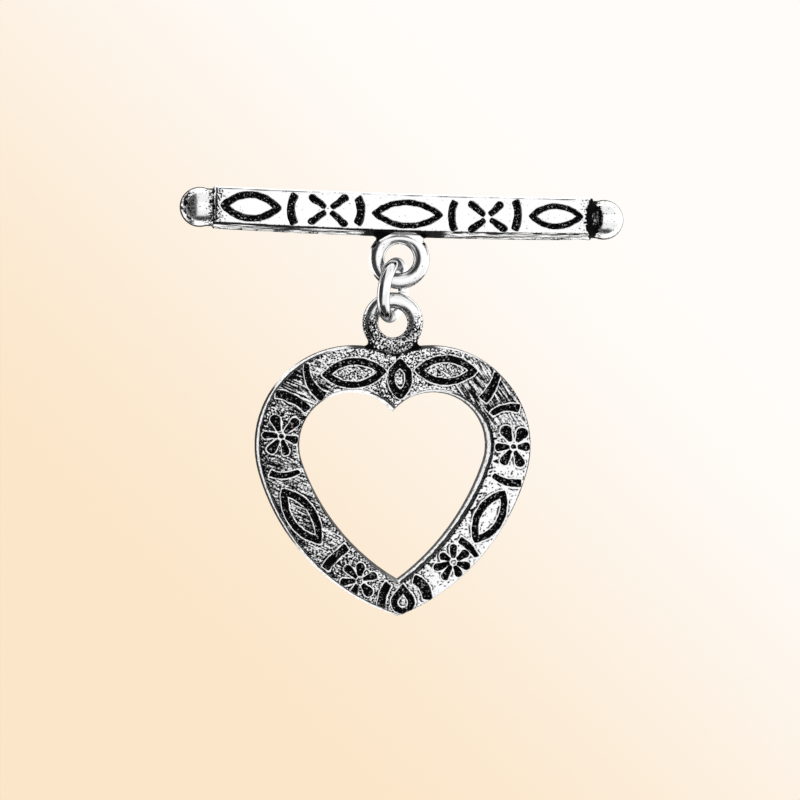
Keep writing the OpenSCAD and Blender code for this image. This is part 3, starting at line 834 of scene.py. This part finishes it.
def silver_finish(name, piece):
    """Worn silver over black patina: the patina fills cuts and corners and clings to the marks, and is
    rubbed through in small glints on the cuts' floors. The ground's darkness also carries painted shade."""
    look = bpy.context.scene.clasp_silver
    material = bpy.data.materials.new(name)
    net = Net(material)
    grain = net.noise(net.place(), scale=9 / MM, detail=3, roughness=0.6)
    cloud = net.noise(net.place(), scale=0.9 / MM, detail=2)
    glint = net.noise(net.place(), scale=8 / MM, detail=1).between(0.6, 0.7)
    marks = tool_marks(net)
    # The ground attribute carries painted shade as well as tool work
    ground = (net.attribute("ground") * (0.7 + 0.6 * grain) + marks).between(0.15, 0.85)
    black = (net.attribute("cut") * (1 - 0.45 * glint)).most(net.attribute("hollow"))
    dark = black.most(ground)
    colour = net.mixed(dark, tuple(look.silver), tuple(look.patina))
    height = net.noise(net.place(), scale=14 / MM, detail=2) - 0.8 * marks
    bump = net.node("ShaderNodeBump", inputs={
        "Strength": 0.25, "Distance": 0.01 * MM, "Height": height})
    shader = net.node("ShaderNodeBsdfPrincipled", inputs={
        "Base Color": colour,
        "Metallic": 1 - dark,
        "Roughness": look.gloss + (look.dull - look.gloss) * dark + 0.06 * cloud,
        "Specular IOR Level": look.shine,
        "Normal": bump})
    net.node("ShaderNodeOutputMaterial", inputs={"Surface": shader})
    piece.data.materials.clear()
    piece.data.materials.append(material)


def wire_finish(piece):
    """Polished wire with faint marks of its drawing and handling, and a line of painted shade along its
    upper upright sides.
    """
    look = bpy.context.scene.clasp_silver
    material = bpy.data.materials.new("polished silver wire")
    net = Net(material)
    cloud = net.noise(net.place(), scale=1.6 / MM, detail=3)
    marks = net.noise(net.stretched((9 / MM, 1.4 / MM, 1.4 / MM)), detail=2).between(0.62, 0.7)
    # Painted shade along the wire's upper upright sides, over the faint marks
    dark = (0.25 * marks).most(net.attribute("rim"))
    shader = net.node("ShaderNodeBsdfPrincipled", inputs={
        "Base Color": net.mixed(dark, tuple(look.silver), tuple(look.patina)),
        "Metallic": 1 - dark,
        "Specular IOR Level": look.shine,
        "Roughness": 0.07 + 0.05 * cloud + 0.1 * marks})
    net.node("ShaderNodeOutputMaterial", inputs={"Surface": shader})
    piece.data.materials.append(material)


class CLASP_OT_cast_heart(bpy.types.Operator):
    """Make the heart ring: worn casting with burred, blackened cuts on a hatched and stippled ground"""

    bl_idname = "clasp.cast_heart"
    bl_label = "Heart ring"

    def execute(self, context):
        sizes = context.scene.clasp_casting
        piece = cast_piece("heart_ring", "cast_heart",
                           lambda casting: HeartGround(casting, sizes.heart_middle / MM), math.inf)
        silver_finish("antiqued silver, hatched", piece)
        return {"FINISHED"}


class CLASP_OT_cast_bar(bpy.types.Operator):
    """Make the toggle bar: worn, polished casting with blackened cuts and a ball at each end"""

    bl_idname = "clasp.cast_bar"
    bl_label = "Toggle bar"

    def execute(self, context):
        sizes = context.scene.clasp_casting
        half_body = sizes.bar_body / MM / 2
        piece = cast_piece(
            "toggle_bar", "cast_bar",
            lambda casting: BarGround(casting, half_body, sizes.bar_width / MM, sizes.bar_turn,
                                      sizes.bar_bow / MM), half_body - 0.3)
        silver_finish("polished silver, blackened cuts", piece)
        return {"FINISHED"}


class CLASP_OT_wire_ring(bpy.types.Operator):
    """Make the jump ring: round wire bent to a ring, its ends meeting in a fine cut at the bottom"""

    bl_idname = "clasp.wire_ring"
    bl_label = "Jump ring"

    def execute(self, context):
        sizes = context.scene.clasp_ring
        low, high = (Vector(corner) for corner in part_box("jump_ring"))
        turn = Matrix.Rotation(-sizes.heading, 4, "Z") @ Matrix.Rotation(-sizes.lean, 4, "Y")
        axis = turn @ Vector((1, 0, 0))
        radius = ((high.y - low.y - sizes.wire) / 2) / math.sqrt(1 - axis.y ** 2)
        gap = sizes.seam / radius
        ring = bmesh.new()
        start = Matrix.Rotation(gap / 2, 4, "X") @ Matrix.Translation((0, 0, -radius)) @ Matrix.Rotation(
            math.pi / 2, 4, "X")
        section = bmesh.ops.create_circle(
            ring, cap_ends=False, segments=sizes.sides, radius=sizes.wire / 2, matrix=start)["verts"]
        edges = list({edge for corner in section for edge in corner.link_edges})
        last = bmesh.ops.spin(
            ring, geom=section + edges, cent=(0, 0, 0), axis=(1, 0, 0), dvec=(0, 0, 0),
            angle=2 * math.pi - gap, steps=sizes.steps, use_merge=False, use_duplicate=False)["geom_last"]
        for end in (edges, [part for part in last if isinstance(part, bmesh.types.BMEdge)]):
            cap = bmesh.ops.contextual_create(ring, geom=end)["faces"]
            bmesh.ops.inset_region(ring, faces=cap, thickness=0.03 * MM, depth=0)
        bmesh.ops.recalc_face_normals(ring, faces=ring.faces)
        bmesh.ops.transform(ring, matrix=Matrix.Translation((low + high) / 2) @ turn, verts=ring.verts)
        mesh = bpy.data.meshes.new("wire_ring")
        ring.to_mesh(mesh)
        ring.free()
        mesh.shade_smooth()
        # Painted shade: a dark line on the upper half's upright sides draws the wire's outline; the lower
        # half lies in the white of the table and gets none
        upper = ramp(vectors_of(mesh.vertices, "co")[:, 2] / MM, 1.4, 2.2)
        write_attribute(mesh, "rim", upper * rim_line(vectors_of(mesh.vertices, "normal"), 0.5))
        piece = bpy.data.objects.new("wire_ring", mesh)
        context.scene.collection.objects.link(piece)
        wire_finish(piece)
        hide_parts("jump_ring")
        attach(piece, BODY)
        return {"FINISHED"}


def aimed(place, target):
    """A turn and a place for something that looks from one point to another with +Y up in its view."""
    back = (Vector(place) - Vector(target)).normalized()
    right = Vector((0, 1, 0)).cross(back).normalized()
    up = back.cross(right)
    return Matrix.Translation(place) @ Matrix((right, up, back)).transposed().to_4x4()


def add_light(name, place, target, width, height, power):
    """A rectangular soft light aimed at a point; sizes in metres."""
    data = bpy.data.lights.new(name, "AREA")
    data.shape = "RECTANGLE"
    data.size = width
    data.size_y = height
    data.energy = power
    light = bpy.data.objects.new(name, data)
    bpy.context.scene.collection.objects.link(light)
    light.matrix_world = aimed(place, target)


def table_finish(table):
    """A pale lit table: the camera sees its even glow, and the metal reflects it as a matt card."""
    stage = bpy.context.scene.clasp_stage
    material = bpy.data.materials.new("pale table")
    net = Net(material)
    across = net.node("ShaderNodeSeparateXYZ", inputs={"Vector": net.place()}, output="X")
    up = net.node("ShaderNodeSeparateXYZ", inputs={"Vector": net.place()}, output="Y")
    share = (across + up).between(-30 * MM, 28 * MM)
    glow = net.node("ShaderNodeEmission", inputs={
        "Color": net.mixed(share, tuple(stage.table_near), tuple(stage.table_far))})
    matt = net.node("ShaderNodeBsdfDiffuse", inputs={"Color": (0.8, 0.78, 0.74, 1)})
    even = net.node("ShaderNodeEmission", inputs={"Color": (1, 1, 1, 1), "Strength": stage.table_glow})
    card = net.node("ShaderNodeAddShader", inputs={0: matt, 1: even})
    seen = net.node("ShaderNodeLightPath", output="Is Camera Ray")
    both = net.node("ShaderNodeMixShader", inputs={0: seen, 1: card, 2: glow})
    net.node("ShaderNodeOutputMaterial", inputs={"Surface": both})
    table.data.materials.append(material)


def room_light(scene, stage):
    """A white light tent that is open, and so dark, on the left and low in front."""
    world = bpy.data.worlds.new("light tent")
    scene.world = world
    net = Net(world)
    way = net.node("ShaderNodeTexCoord", output="Generated")
    right, back, up = (
        net.node("ShaderNodeSeparateXYZ", inputs={"Vector": way}, output=axis) for axis in "XYZ")
    opening = 1 - right.between(-0.42, -0.1)
    front = (1 - back.between(-0.85, -0.7)) * (1 - up.between(0.5, 0.65))
    tent = 1 - opening.most(front)
    light = net.node("ShaderNodeBackground", inputs={
        "Color": (1, 1, 1, 1), "Strength": stage.opening + (stage.tent - stage.opening) * tent})
    net.node("ShaderNodeOutputWorld", inputs={"Surface": light})


class CLASP_OT_stage(bpy.types.Operator):
    """Make the stage: pale table, broad soft light overhead and on the right, and the camera"""

    bl_idname = "clasp.stage"
    bl_label = "Stage"

    def execute(self, context):
        scene = context.scene
        stage = scene.clasp_stage
        surface = bmesh.new()
        bmesh.ops.create_grid(surface, x_segments=4, y_segments=4, size=TABLE_HALF)
        mesh = bpy.data.meshes.new("table")
        surface.to_mesh(mesh)
        surface.free()
        table = bpy.data.objects.new("table", mesh)
        scene.collection.objects.link(table)
        table_finish(table)
        middle = (0, 0, 0)
        add_light("overhead", (0.05, 0.03, 0.5), middle, width=0.5, height=0.45, power=stage.overhead)
        add_light("right side", (0.42, 0.08, 0.22), middle, width=0.5, height=0.36, power=stage.side)
        room_light(scene, stage)
        camera_data = bpy.data.cameras.new("camera")
        camera_data.lens = stage.lens
        camera_data.sensor_width = 36
        camera_data.clip_start = 0.005
        camera = bpy.data.objects.new("camera", camera_data)
        scene.collection.objects.link(camera)
        camera.matrix_world = aimed(stage.eye, stage.target)
        scene.camera = camera
        scene.view_settings.view_transform = "Standard"
        return {"FINISHED"}


class CLASP_PT_pieces(bpy.types.Panel):
    """Lists the pieces of the clasp and its stage"""

    bl_idname = "CLASP_PT_pieces"
    bl_label = "Toggle clasp"
    bl_space_type = "VIEW_3D"
    bl_region_type = "UI"
    bl_category = "Clasp"

    def draw(self, context):
        for operator in OPERATORS:
            self.layout.operator(operator.bl_idname)


OPERATORS = (CLASP_OT_stage, CLASP_OT_cast_bar, CLASP_OT_wire_ring, CLASP_OT_cast_heart)
GROUPS = {"clasp_casting": ClaspCasting, "clasp_silver": ClaspSilver, "clasp_ring": ClaspRing,
          "clasp_stage": ClaspStage}


def register():
    for group in GROUPS.values():
        bpy.utils.register_class(group)
    for operator in OPERATORS:
        bpy.utils.register_class(operator)
    bpy.utils.register_class(CLASP_PT_pieces)
    for name, group in GROUPS.items():
        setattr(bpy.types.Scene, name, PointerProperty(type=group))


def unregister():
    for name in GROUPS:
        delattr(bpy.types.Scene, name)
    bpy.utils.unregister_class(CLASP_PT_pieces)
    for operator in reversed(OPERATORS):
        bpy.utils.unregister_class(operator)
    for group in reversed(GROUPS.values()):
        bpy.utils.unregister_class(group)


def main():
    register()
    bpy.ops.clasp.stage()
    bpy.ops.clasp.cast_bar()
    bpy.ops.clasp.wire_ring()
    bpy.ops.clasp.cast_heart()


if __name__ == "__main__":
    main()
